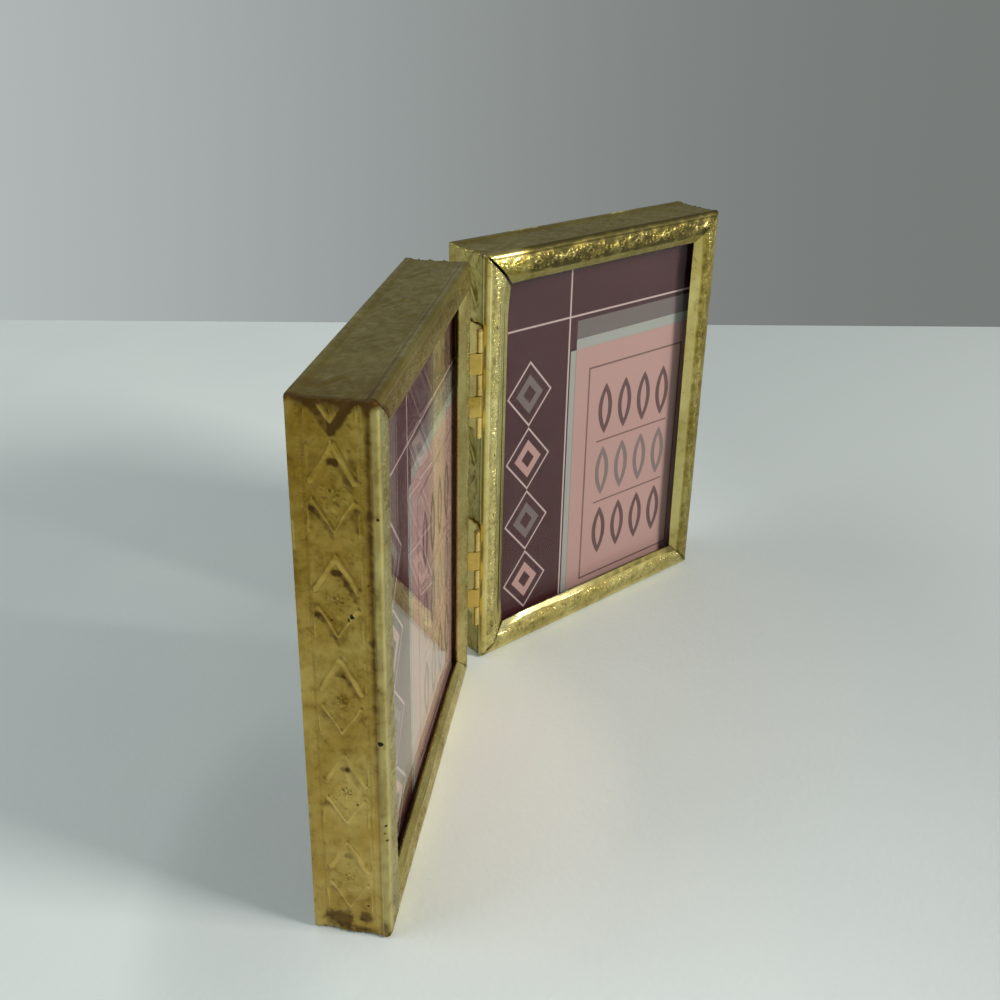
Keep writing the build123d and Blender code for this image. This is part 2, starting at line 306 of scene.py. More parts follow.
def build_rim(side):
    rows = profile()
    R = len(rows)
    uv = np.array([(u, v) for u, v, _ in rows])
    kinds = [k for _, _, k in rows]
    outer = np.array([k in ("wall", "lip", "bevel", "nose") for k in kinds])
    last_outer = max(i for i in range(R) if outer[i])
    run = np.concatenate([[0], np.cumsum(np.hypot(*np.diff(uv, axis=0).T))])   # length along the section
    # section normals, pointing out of the metal
    nrm = np.zeros((R, 2))
    for i in range(last_outer + 1):
        a, b = uv[max(i - 1, 0)], uv[min(i + 1, last_outer)]
        t = (b - a) / max(np.hypot(*(b - a)), 1e-9)
        nrm[i] = (-t[1], t[0])
    inner_c, mitre = INNER[side], MITRE[side]
    verts, attr_relief, attr_s, attr_t, attr_dirt_and_shade, attr_u, attr_age_and_shade, attr_film = [], [], [], [], [], [], [], []
    index = [[None] * 4 for _ in range(R)]
    count = 0
    for i, (u, v, kind) in enumerate(rows):
        r = max(CORNER_R - u, 0.0)
        opened = mitre_open(u, kind)
        for k in range(4):
            L = SIDES[k][0]
            n = int(round(L / STEP_ALONG.get((side, k), 0.24)))
            c0, c1 = inner_c[k], inner_c[(k + 1) % 4]
            # along and across sizes of the lip at the side's two ends
            ends = []
            for nose in (c0, c1):
                for axis in ((0, 1) if k % 2 == 0 else (1, 0)):
                    if kind == "in" or u <= BEND_R:
                        ends.append(u)
                    else:
                        ends.append(BEND_R + (u - BEND_R) / (LIP_W - BEND_R) * (nose[axis] - BEND_R))
            e0, m0, e1, m1 = ends
            g0, g1 = mitre[k] * opened, mitre[(k + 1) % 4] * opened
            arc = r * math.pi / 4
            flat = (L - e1 - r - g1) - (e0 + r + g0)
            dist = np.linspace(0, 1, n + 1) * (2 * arc + flat)
            along = e0 + r + g0 + (dist - arc)
            f = np.clip((along - e0) / (L - e1 - e0), 0, 1)
            inward = m0 + (m1 - m0) * f
            if kind != "in" and u > BEND_R:
                cb, nb = CREASE_BOW[side][k], BOW[side][k]
                if u <= CROWN_U:
                    move = cb * (u - BEND_R) / (CROWN_U - BEND_R)
                else:
                    move = cb + (nb - cb) * min((u - CROWN_U) / (LIP_W - CROWN_U), 1.0)
                inward = inward + move * step(0.0, 7.0, np.minimum(along - e0, L - e1 - along))
            dirx, diry = np.zeros(n + 1), np.ones(n + 1)       # outward from the wall is -inward
            if r > 0:
                lead = dist < arc
                phi = (arc - dist[lead]) / r
                along[lead] = e0 + r + g0 - r * np.sin(phi)
                inward[lead] = m0 + r - r * np.cos(phi)
                dirx[lead], diry[lead] = -np.sin(phi), np.cos(phi)
                tail = dist > arc + flat
                phi = (dist[tail] - arc - flat) / r
                along[tail] = L - e1 - r - g1 + r * np.sin(phi)
                inward[tail] = m1 + r - r * np.cos(phi)
                dirx[tail], diry[tail] = np.sin(phi), np.cos(phi)
            s = START[k] + dist * (L / max(2 * arc + flat, 1e-6)) if u < 0.5 else START[k] + along
            # ornament
            h = np.zeros(n + 1)
            off = np.zeros(n + 1)
            if outer[i]:
                back = LEAF_D + v
                w = back - BAND_MID
                end = np.minimum(along, L - along)
                if kind == "wall":
                    h = wall_relief(s, np.full_like(s, w), PHASE[side]) * wall_amp(side, k, along, back)
                    if side == "left" and k == 3:
                        # the V pressed hard into the top of the free end, with a thin ridge inside it
                        d, f_ = stroke(along, np.full_like(s, abs(w)), 0.2, 3.1, 4.6, 0.0)
                        deep = bar(d, 0.62, 0.45)
                        d2, f_ = stroke(along, np.full_like(s, abs(w)), 0.2, 2.0, 3.3, 0.0)
                        h = h * (1 - deep) - 1.15 * deep
                        h = np.maximum(h, 0.9 * bump(d2, 0.34) + 0.35 * bar(d2 - 0.4, 0.2, 0.3) * (d2 < 1.2))
                    # a shallow rolled line along the front of the wall
                    h = h - 0.45 * bump(back - 10.8, 0.30)
                    base = 0.06 + (RELIEF - 0.06) * step(5.0, 4.1, abs(w))
                    deepest = -0.66
                    h = np.clip(h, -1.3, 1.0)
                    off = h * RELIEF - base
                else:
                    fine = 0.0
                    if kind == "lip" and u > 1.0:
                        h = np.clip(lip_relief(s, u, LIP_PHASE[side]) * lip_amp(side, k, along, u), -0.8, 1.0)
                        fine = RELIEF_LIP
                    base = 0.06 + (RELIEF_LIP - 0.06) * step(0.9, 1.5, u) * step(4.9, 4.6, u)
                    deepest = -0.30
                    off = h * fine - base
                # slow waviness of thin metal, and the crumpled metal of the bends
                wav = noise2(s / 9.0 + 3.1, np.full_like(s, back / 7.0 + u), 11 + k) - 0.5
                off = off + (0.10 if kind in ("wall", "lip") else 0.025) * wav * step(0, 3, end)
                if kind == "wall" or u < BEND_R:
                    fold = step(2.6, 0.2, end - u) * (noise2(s * 1.9, np.full_like(s, run[i] * 1.1), 31) - 0.5)
                    fold = fold + 0.5 * step(1.6, 0.1, end - u) * (noise2(s * 4.3, np.full_like(s, run[i] * 2.7), 37) - 0.5)
                    crush = 0.15 if k in (1, 2, 3) else 0.10
                    if side == "right":
                        crush = np.where(((k == 2) & (along > L / 2)) | ((k == 3) & (along < L / 2)), 0.30, crush)
                    off = off + crush * fold * step(0.0, 1.0, back)
                off = np.clip(off, deepest, 0.0)
            rel = h
            if kind == "nose":
                off = off * 0
            # point in (along, inward, v), moved along the surface normal
            nu, nv = nrm[i]
            du, dv = off * nu, off * nv
            al = along - du * dirx
            inw = inward + du * diry
            vv = v + dv
            if side == "right" and k == 0 and kind in ("bevel", "nose"):
                vv = vv + (0.26 + 0.16 * step(10, 38, along)) * min((u - CROWN_U) / (LIP_W - CROWN_U), 1.0)
            if k == 0:
                x, y = al, inw
            elif k == 1:
                x, y = LEAF_W - inw, al
            elif k == 2:
                x, y = LEAF_W - al, LEAF_H - inw
            else:
                x, y = inw, LEAF_H - al
            pts = to_row(side, x, y, vv)
            dirt_and_shade = rim_dirt_and_shade(side, k, along, LEAF_D + v, u, kind, h)
            age = rim_age_and_shade(side, k, along, LEAF_D + v, u, kind)
            merged = opened <= 0.0
            ids = np.arange(count, count + n + 1)
            if merged and k > 0:
                ids = np.concatenate([[index[i][k - 1][-1]], np.arange(count, count + n)])
                pts, rel_k, s_k, dirt_and_shade_k, age_and_shade_k = pts[1:], rel[1:], s[1:], dirt_and_shade[1:], age[1:]
            else:
                rel_k, s_k, dirt_and_shade_k, age_and_shade_k = rel, s, dirt_and_shade, age
            along_k = along
            if merged and k == 3:
                ids = np.concatenate([ids[:-1], [index[i][0][0]]])
                pts, rel_k, s_k, dirt_and_shade_k, age_and_shade_k = pts[:-1], rel_k[:-1], s_k[:-1], dirt_and_shade_k[:-1], age_and_shade_k[:-1]
            index[i][k] = ids
            count += len(pts)
            verts.append(pts)
            attr_relief.append(rel_k if outer[i] else np.full(len(pts), 0.3))
            attr_s.append(s_k)
            attr_t.append(np.full(len(pts), run[i]))
            attr_u.append(np.full(len(pts), u if outer[i] else -1.0))
            attr_dirt_and_shade.append(dirt_and_shade_k)
            attr_age_and_shade.append(age_and_shade_k)
            film = np.zeros(len(pts))
            if side == "left" and k == 3:
                film = np.full(len(pts), -1.0 if kind == "wall" else (0.45 if kind == "lip" and u > 0.9 else 0.0))
            if side == "right" and k == 0 and kind in ("bevel", "nose"):
                film = 0.50 - 0.25 * step(24, 44, along_k)
            attr_film.append(film)
    verts = np.concatenate(verts)
    faces = []
    for i in range(R):
        j = (i + 1) % R
        for k in range(4):
            a, b = index[i][k], index[j][k]
            faces.append(np.stack([a[:-1], a[1:], b[1:], b[:-1]], 1))
    quads = np.concatenate(faces)
    # tabs folded over the back
    tab_v, tab_f = [], []
    for k, mids in enumerate(((LEAF_W / 2 - 14, LEAF_W / 2 + 14), (LEAF_H / 2 - 24, LEAF_H / 2 + 24)) * 2):
        for mid in mids:
            tab_mesh(side, tab_v, tab_f, k, mid)
    n_rim, n_tab = len(verts), len(tab_v)
    verts = np.concatenate([verts, np.array(tab_v)])
    tabs = np.array(tab_f) + n_rim
    # mitre faces
    flags = [mitre_open(u, kind) > 0 for u, _, kind in rows]
    first = flags.index(True) - 1
    last = max(i for i in range(R) if flags[i]) + 1
    caps = []
    for k in range(4):
        caps.append([int(index[i][k][0]) for i in range(first, last + 1)])
        caps.append([int(index[i][k][-1]) for i in range(last, first - 1, -1)])
    mesh = bpy.data.meshes.new(f"{side}_rim")
    loops = np.concatenate([quads.ravel(), tabs.ravel()] + [np.array(c) for c in caps]).astype(np.int32)
    sizes = np.concatenate([np.full(len(quads) + len(tabs), 4), np.array([len(c) for c in caps])]).astype(np.int32)
    smooth = np.ones(len(sizes), bool)
    smooth[len(quads):] = False
    mesh.vertices.add(len(verts))
    mesh.vertices.foreach_set("co", verts.ravel())
    mesh.loops.add(len(loops))
    mesh.loops.foreach_set("vertex_index", loops)
    mesh.polygons.add(len(sizes))
    mesh.polygons.foreach_set("loop_start", np.concatenate([[0], np.cumsum(sizes)[:-1]]).astype(np.int32))
    mesh.polygons.foreach_set("use_smooth", smooth)
    mesh.update(calc_edges=True)
    mesh.validate()
    row_of = np.full(len(verts), -1)
    for i in range(R):
        for k in range(4):
            row_of[index[i][k]] = i
    crease_row = max(i for i in range(R) if kinds[i] == "lip")
    nose_row = max(i for i in range(R) if kinds[i] == "bevel")
    sharp_rows = [0, crease_row, nose_row, last_outer] + [i for i in range(R) if kinds[i] == "in" and uv[i][0] >= SEAT_X - 0.01 and uv[i][1] <= -SEAT_D + 0.01]
    ends = np.zeros(len(mesh.edges) * 2, np.int32)
    mesh.edges.foreach_get("vertices", ends)
    ra, rb = row_of[ends[0::2]], row_of[ends[1::2]]
    sharp = (ra == rb) & np.isin(ra, sharp_rows)
    layer = mesh.attributes.new("sharp_edge", "BOOLEAN", "EDGE")
    layer.data.foreach_set("value", sharp)
    for name, data, on_tab in (
        ("relief", attr_relief, 0.3), ("dirt_and_shade", attr_dirt_and_shade, 0.22), ("strip_s", attr_s, 0.0), ("strip_t", attr_t, 30.0),
        ("lip_u", attr_u, -1.0), ("age", attr_age_and_shade, 0.55), ("film", attr_film, 0.0),
    ):
        layer = mesh.attributes.new(name, "FLOAT", "POINT")
        layer.data.foreach_set("value", np.concatenate(data + [np.full(n_tab, on_tab)]).astype(np.float32))
    return mesh, index


def wall_amp(side, k, along, back):
    """How deep the wall's ornament is pressed at each place."""
    if side == "left" and k == 3:       # free end: along runs down from the top
        return 1.15 - 0.12 * step(26, 58, along)
    if k == 2:                          # top: worn nearly smooth
        return 0.22 + 0.08 * np.sin(along / 9.0)
    if k == 0:
        return np.full_like(along, 0.6)
    return np.full_like(along, 0.8)


def lip_amp(side, k, along, u):
    fade = step(1.0, 1.6, u) * step(4.75, 4.45, u)
    if side == "right":
        return np.full_like(along, {0: 0.75, 1: 1.1, 2: 1.3, 3: 1.1}[k]) * fade
    return np.full_like(along, 0.8) * fade


def rim_age_and_shade(side, k, along, back, u, kind):
    """How far the lacquer has browned, 0 to 1, with painted shade on the top faces, by the wall's front bend, on the
    right leaf's bottom bevel and inside the rim.
    """
    L = SIDES[k][0]
    a = np.full_like(along, 0.18)
    # inside faces: browned, and painted darker for the shade in the recess
    if kind == "in":
        return np.full_like(along, 0.8)
    slow = noise2(along / 7.0, np.full_like(along, back / 6.0 + u * 0.3), 61) - 0.5
    quick = noise2(along / 1.3, np.full_like(along, back / 1.3 + u * 0.8), 62) - 0.5
    plain = kind in ("bevel", "nose")
    if side == "left" and k == 3:
        if kind == "wall":
            # free end's wall: browner and darker towards the top, and painted shade in a band just before the front
            # bend
            a = 1.0 - 0.42 * step(8, 74, along) + 0.12 * step(9.4, 10.2, back) * step(60, 20, along)
        elif kind == "lip":
            a = 0.26 + 0.25 * step(1.2, 2.0, u) * np.ones_like(along)
        else:
            a = np.full_like(along, 0.35)
    elif k == 2:
        if kind == "wall":
            # top faces: fully browned, with painted shade for the dim room they mirror
            a = np.full_like(along, 1.0)
        elif plain:
            a = np.full_like(along, 0.72)
        elif side == "right":
            # one bright stretch by the spine, then nearly black lacquer with glints
            a = 1.0 - 0.85 * step(L - 10.5, L - 7.5, along) * step(2.3, 1.6, u) + 0.9 * quick * step(0.3, 1.2, u)
        else:
            a = np.full_like(along, 0.8)
    elif side == "right" and k == 1:
        a = np.full_like(along, 0.92) + 0.6 * quick if not plain else np.full_like(along, 0.22)
    elif side == "right" and k == 3:
        a = np.full_like(along, 0.55 if kind == "wall" else (0.02 if kind == "lip" else 0.40))
    elif side == "left" and k == 1:
        a = np.full_like(along, 0.62)
    elif k == 0:
        # painted shade: the right leaf's bottom bevel browner towards its free end, for the darker things it mirrors
        # there
        if plain and side == "right":
            a = 0.0 + 1.0 * step(22, 46, along) + 0.5 * quick * step(20, 30, along)
        else:
            a = np.full_like(along, 0.34 if not plain else 0.45)
    return np.clip(a + 0.35 * slow, 0, 1)


def rim_dirt_and_shade(side, k, along, back, u, kind, h):
    """Brown tarnish and painted shade, 0 to 1, and black specks above 1."""
    d = np.zeros_like(along)
    L = SIDES[k][0]
    end = np.minimum(along, L - along)
    # inside faces: tarnished, and painted darker for the shade in the recess
    if kind == "in":
        return np.full_like(along, 1.0)

    def cloud(scale, seed):
        return noise2(along * scale, np.full_like(along, (back + u) * scale), seed)

    rough_edge = 0.55 * cloud(0.9, 5) + 0.45 * cloud(2.6, 6)
    d += 0.45 * step(1.5, 0.2, end - min(u, 4.0)) * (0.4 + 0.8 * cloud(1.3, 5))
    # painted shade: a dark brown band along the front of every wall, just before the bend into the lip
    bend_shade_band = step(9.7, 10.7, back) * step(11.5, 10.95, back)
    if kind in ("wall", "lip") and u < 0.2:
        d += (0.50 if (side == "left" and k == 3) else 0.36) * bend_shade_band * (0.75 + 0.5 * cloud(0.8, 7)) * (1.0 if k != 2 else 0.3) * (step(86, 30, along) if (side == "left" and k == 3) else 1.0)
    if side == "left" and k == 2 and kind in ("wall", "lip"):
        d += 0.50 * step(24, 1.0, L - along) * (0.55 + 0.8 * cloud(0.6, 14)) + 0.30 * step(1.6, 0.4, L - along)
    if side == "right" and kind == "lip":
        # nearly black lacquer along the top beyond the bright stretch, brown hollows elsewhere
        if k == 2:
            d += step(L - 7.0, L - 12.0, along) * (0.80 * (0.60 + 0.7 * cloud(0.8, 16)) + 0.25 * step(1.5, 0.6, u))
            d -= 0.40 * step(0.45, 0.85, h)
        elif k == 1:
            d += 0.22 * (0.5 + cloud(0.8, 16))
        elif k == 3:
            d += 0.48 * step(0.15, -0.25, h) * step(1.0, 1.8, u) + 0.20 * step(0.55, 0.75, cloud(1.4, 18))
        else:
            d += 0.26 * step(0.10, -0.35, h) * step(1.0, 1.8, u) + 0.14 * step(0.50, 0.75, cloud(1.1, 18))
        d = np.maximum(d, 0.0)
    # painted shade: the right leaf's bottom bevel darkened towards its free end, for the darker things it mirrors
    # there
    if side == "right" and k == 0 and kind in ("bevel", "nose"):
        d += 0.16 + 0.42 * step(20, 46, along) * (0.5 + cloud(0.8, 19))
    # painted shade: the free end's bend into the lip darkened brown
    if side == "left" and k == 3 and kind == "lip":
        d += 0.20 * step(1.2, 0.6, u) + 0.27 * step(0.62, 0.22, u) * (0.7 + 0.6 * cloud(0.8, 20))
    if side == "left" and k == 3 and kind in ("wall", "lip"):
        w = back - BAND_MID
        top = along
        aw = np.full_like(top, abs(w))
        # scorched V below the top bend: left arm orange brown, right arm almost black
        dist, f = stroke(top, aw, 0.2, 3.0, 4.7, 0.0)
        arm = step(1.15, 0.40, dist + 0.4 * (rough_edge - 0.5))
        d += arm * (1.02 if w > -0.5 else 0.62)
        dist2, f = stroke(top, aw, 0.2, 2.0, 3.3, 0.0)
        d -= 0.55 * bump(dist2, 0.26) * arm
        d += 0.42 * step(2.8, 0.4, top + 1.2 * (rough_edge - 0.5)) * step(-6.1, -2.5, w) * step(-1.0, -2.6, w)
        d += 0.42 * step(1.7, 0.3, top) * (0.5 + cloud(1.0, 17))
        d += 0.34 * step(3.0, 0.6, top) * step(3.2, 4.4, w) * (1 if kind == "wall" else 0.3)
        # brown lacquer left in the hollows: strong near the top, faint near the foot
        for c, deep in ((13.7, 1.0), (30.3, 0.92), (46.9, 0.66), (63.5, 0.50), (80.1, 0.44)):
            t = top - c + PITCH / 2
            inside = (t > 0) & (t < PITCH)
            q = np.hypot((t - 3.7) / 0.75, aw / 0.95)
            spot = step(1.2, 0.5, q + 0.5 * (rough_edge - 0.5))
            dist, f = arc(t, aw, 3.8, 0.35, 8.1, 2.75, -0.12)
            leg = step(0.75 - 0.2 * f, 0.12, dist + 0.5 * (rough_edge - 0.5)) * (1.0 - 0.35 * f)
            dist, f = arc(t, aw, 10.5, 2.98, 15.1, 0.2, 0.28)
            foot = step(0.85 - 0.25 * f, 0.15, dist + 0.5 * (rough_edge - 0.5)) * (1.0 - 0.35 * f)
            dist, f = stroke(t, aw, 2.0, 2.25, 6.2, 3.3)
            flank = step(0.7, 0.1, dist + 0.6 * (rough_edge - 0.5))
            dist, f = stroke(t, aw, 10.6, 3.1, 13.6, 3.1)
            wing = step(0.55, 0.1, dist + 0.6 * (rough_edge - 0.5))
            right_side = w > 0
            add = 0.95 * spot + (0.80 if right_side else 0.22) * leg + (0.26 if right_side else 0.66) * foot
            add = add + (0.42 if right_side else 0.16) * flank + 0.30 * wing
            d += deep * np.where(inside, add, 0) * (0.55 + 0.7 * cloud(1.1, 8))
        # mottled brown film
        d += (0.20 * step(0.52, 0.80, cloud(0.55, 9)) + 0.18 * step(0.60, 0.85, cloud(1.9, 10))) * (1.0 if kind == "wall" else 0.25) * step(88, 30, along)
        # between the arms of the V
        d += 0.34 * step(3.4, 2.6, top + 1.25 * abs(w)) * (0.6 + 0.8 * cloud(2.2, 15))
        # two brown dents at the bottom bend, with lighter rims
        for cb, cz, rb, rz, deep in ((4.0, 88.3, 3.4, 1.9, 0.80), (8.3, 87.7, 1.7, 1.5, 0.78), (6.2, 90.0, 4.6, 0.8, 0.6), (11.0, 88.8, 1.2, 1.6, 0.35)):
            q = np.hypot((back - cb) / rb, (top - cz) / rz)
            d += deep * step(1.15, 0.35, q + 0.45 * (rough_edge - 0.5))
        d -= 0.35 * bump(np.hypot((back - 6.9) / 0.5, (top - 88.0) / 1.5), 1.0)
        d = np.clip(d, 0.0, 1.1)
        # specks
        for cb, z, r, deep in ((11.4, 37.8, 0.34, 3.0), (7.9, 58.7, 0.30, 2.4), (7.4, 58.1, 0.20, 2.0), (4.9, 57.7, 0.17, 1.5), (7.6, 25.7, 0.17, 1.6),
                               (8.7, 5.9, 0.22, 1.8), (11.9, 22.6, 0.15, 1.7), (11.7, 21.2, 0.13, 1.5), (12.0, 19.8, 0.15, 1.6), (11.9, 74.1, 0.17, 1.5), (10.3, 63.9, 0.14, 1.3)):
            q = np.hypot(back - cb, top - (LEAF_H - z)) + 0.25 * r * (cloud(4.0, 12) - 0.5)
            d += deep * step(r * 1.3, r * 0.65, q)
    return np.clip(d, 0, 3)


def tab_mesh(side, verts, faces, k, mid):
    """A tab bent in from the wall's back edge: rounded tip, slightly dished."""
    nu, nw, lift = 12, 10, METAL
    half, long_ = 3.5, 4.5
    base = len(verts)
    grid = []
    for layer in (0, 1):
        for i in range(nu + 1):
            f = i / nu
            inw = 0.05 + (long_ - 0.05) * f
            hw = half - (0.9 * max(0.0, (f - 0.72) / 0.28) ** 2.2)
            for j in range(nw + 1):
                g = 2 * j / nw - 1
                a = mid + g * hw
                v = -LEAF_D + (0.0 if layer == 0 else lift)
                v += 0.05 * (1 - f) * (1 - g * g) if layer == 0 else 0.0
                v = v + (0.10 * max(0.0, 0.12 - f) / 0.12 if layer == 0 else 0.0)
                inw_ = inw
                if k == 0:
                    x, y = a, inw_
                elif k == 1:
                    x, y = LEAF_W - inw_, a
                elif k == 2:
                    x, y = LEAF_W - a, LEAF_H - inw_
                else:
                    x, y = inw_, LEAF_H - a
                grid.append(to_row(side, x, y, v))
    verts.extend(grid)
    st, row = (nu + 1) * (nw + 1), nw + 1
    for i in range(nu):
        for j in range(nw):
            q = base + i * row + j
            faces.append((q, q + row, q + row + 1, q + 1))
            q += st
            faces.append((q, q + 1, q + row + 1, q + row))
    ring = [(i, 0) for i in range(nu)] + [(nu, j) for j in range(nw)] + [(i, nw) for i in range(nu, 0, -1)] + [(0, j) for j in range(nw, 0, -1)]
    ids = [base + i * row + j for i, j in ring]
    for a, b in zip(ids, ids[1:] + ids[:1]):
        faces.append((b, a, st + a, st + b))


def fit_piece(name, mesh, body, stands_for=()):
    obj = bpy.data.objects.new(name, mesh)
    bpy.context.scene.collection.objects.link(obj)
    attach(obj, body)
    for node in stands_for:
        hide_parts(node)
    return obj


def mesh_from(name, verts, faces, smooth=False):
    mesh = bpy.data.meshes.new(name)
    mesh.from_pydata([tuple(map(float, v)) for v in verts], [], faces)
    mesh.validate()
    mesh.update()
    if smooth:
        mesh.polygons.foreach_set("use_smooth", np.ones(len(mesh.polygons), bool))
    return mesh


# ---------------------------------------------------------------- materials
class Net:
    """A small helper that writes shader maths."""

    def __init__(self, name):
        self.mat = bpy.data.materials.new(name)
        self.mat.use_nodes = True
        self.tree = self.mat.node_tree
        self.tree.nodes.clear()
        self.out = self.tree.nodes.new("ShaderNodeOutputMaterial")

    def put(self, socket, value):
        if isinstance(value, bpy.types.NodeSocket):
            self.tree.links.new(value, socket)
        elif isinstance(value, (tuple, list)) and len(value) == 3 and socket.type == "RGBA":
            socket.default_value = (*value, 1.0)
        else:
            socket.default_value = value

    def node(self, kind, inputs=None, **props):
        n = self.tree.nodes.new(kind)
        for k, v in props.items():
            setattr(n, k, v)
        for k, v in (inputs or {}).items():
            self.put(n.inputs[k], v)
        return n

    def math(self, op, a, b=0.0, c=0.0, clamp=False):
        n = self.node("ShaderNodeMath", operation=op, use_clamp=clamp)
        self.put(n.inputs[0], a)
        self.put(n.inputs[1], b)
        self.put(n.inputs[2], c)
        return n.outputs[0]

    def add(self, a, b): return self.math("ADD", a, b)
    def sub(self, a, b): return self.math("SUBTRACT", a, b)
    def mul(self, a, b): return self.math("MULTIPLY", a, b)
    def clip(self, a): return self.math("ADD", a, 0.0, clamp=True)

    def ramp(self, x, lo, hi, a=0.0, b=1.0):
        n = self.node("ShaderNodeMapRange", interpolation_type="SMOOTHSTEP", clamp=True)
        self.put(n.inputs["Value"], x)
        self.put(n.inputs["From Min"], lo)
        self.put(n.inputs["From Max"], hi)
        self.put(n.inputs["To Min"], a)
        self.put(n.inputs["To Max"], b)
        return n.outputs["Result"]

    def mix(self, f, a, b):
        n = self.node("ShaderNodeMix", data_type="RGBA")
        self.put(n.inputs[0], f)
        self.put(n.inputs[6], a)
        self.put(n.inputs[7], b)
        return n.outputs[2]

    def attr(self, name):
        return self.node("ShaderNodeAttribute", attribute_name=name).outputs["Fac"]

    def coords(self, scale=(1, 1, 1)):
        """Object coordinates in mm, times scale."""
        tc = self.node("ShaderNodeTexCoord")
        m = self.node("ShaderNodeMapping")
        m.inputs["Scale"].default_value = tuple(1000.0 * x for x in scale)
        self.put(m.inputs["Vector"], tc.outputs["Object"])
        return m.outputs["Vector"]

    def noise(self, vec, scale, detail=3.0, rough=0.55, distort=0.0):
        n = self.node("ShaderNodeTexNoise")
        self.put(n.inputs["Vector"], vec)
        n.inputs["Scale"].default_value = scale
        n.inputs["Detail"].default_value = detail
        n.inputs["Roughness"].default_value = rough
        n.inputs["Distortion"].default_value = distort
        return n.outputs["Fac"]

    def voronoi(self, vec, scale, feature="F1", rand=1.0):
        n = self.node("ShaderNodeTexVoronoi", feature=feature)
        self.put(n.inputs["Vector"], vec)
        n.inputs["Scale"].default_value = scale
        n.inputs["Randomness"].default_value = rand
        return n.outputs["Distance"]

    def xyz(self, x, y, z=0.0):
        n = self.node("ShaderNodeCombineXYZ")
        self.put(n.inputs[0], x)
        self.put(n.inputs[1], y)
        self.put(n.inputs[2], z)
        return n.outputs[0]

    def split(self, vec):
        n = self.node("ShaderNodeSeparateXYZ")
        self.put(n.inputs[0], vec)
        return n.outputs[0], n.outputs[1], n.outputs[2]

    def bump(self, height, distance, strength=1.0):
        n = self.node("ShaderNodeBump")
        n.inputs["Strength"].default_value = strength
        n.inputs["Distance"].default_value = distance
        self.put(n.inputs["Height"], height)
        return n.outputs["Normal"]

    def finish(self, shader):
        self.tree.links.new(shader, self.out.inputs["Surface"])
        return self.mat


def srgb(r, g, b):
    def f(c):
        c /= 255.0
        return c / 12.92 if c <= 0.04045 else ((c + 0.055) / 1.055) ** 2.4
    return (f(r), f(g), f(b))


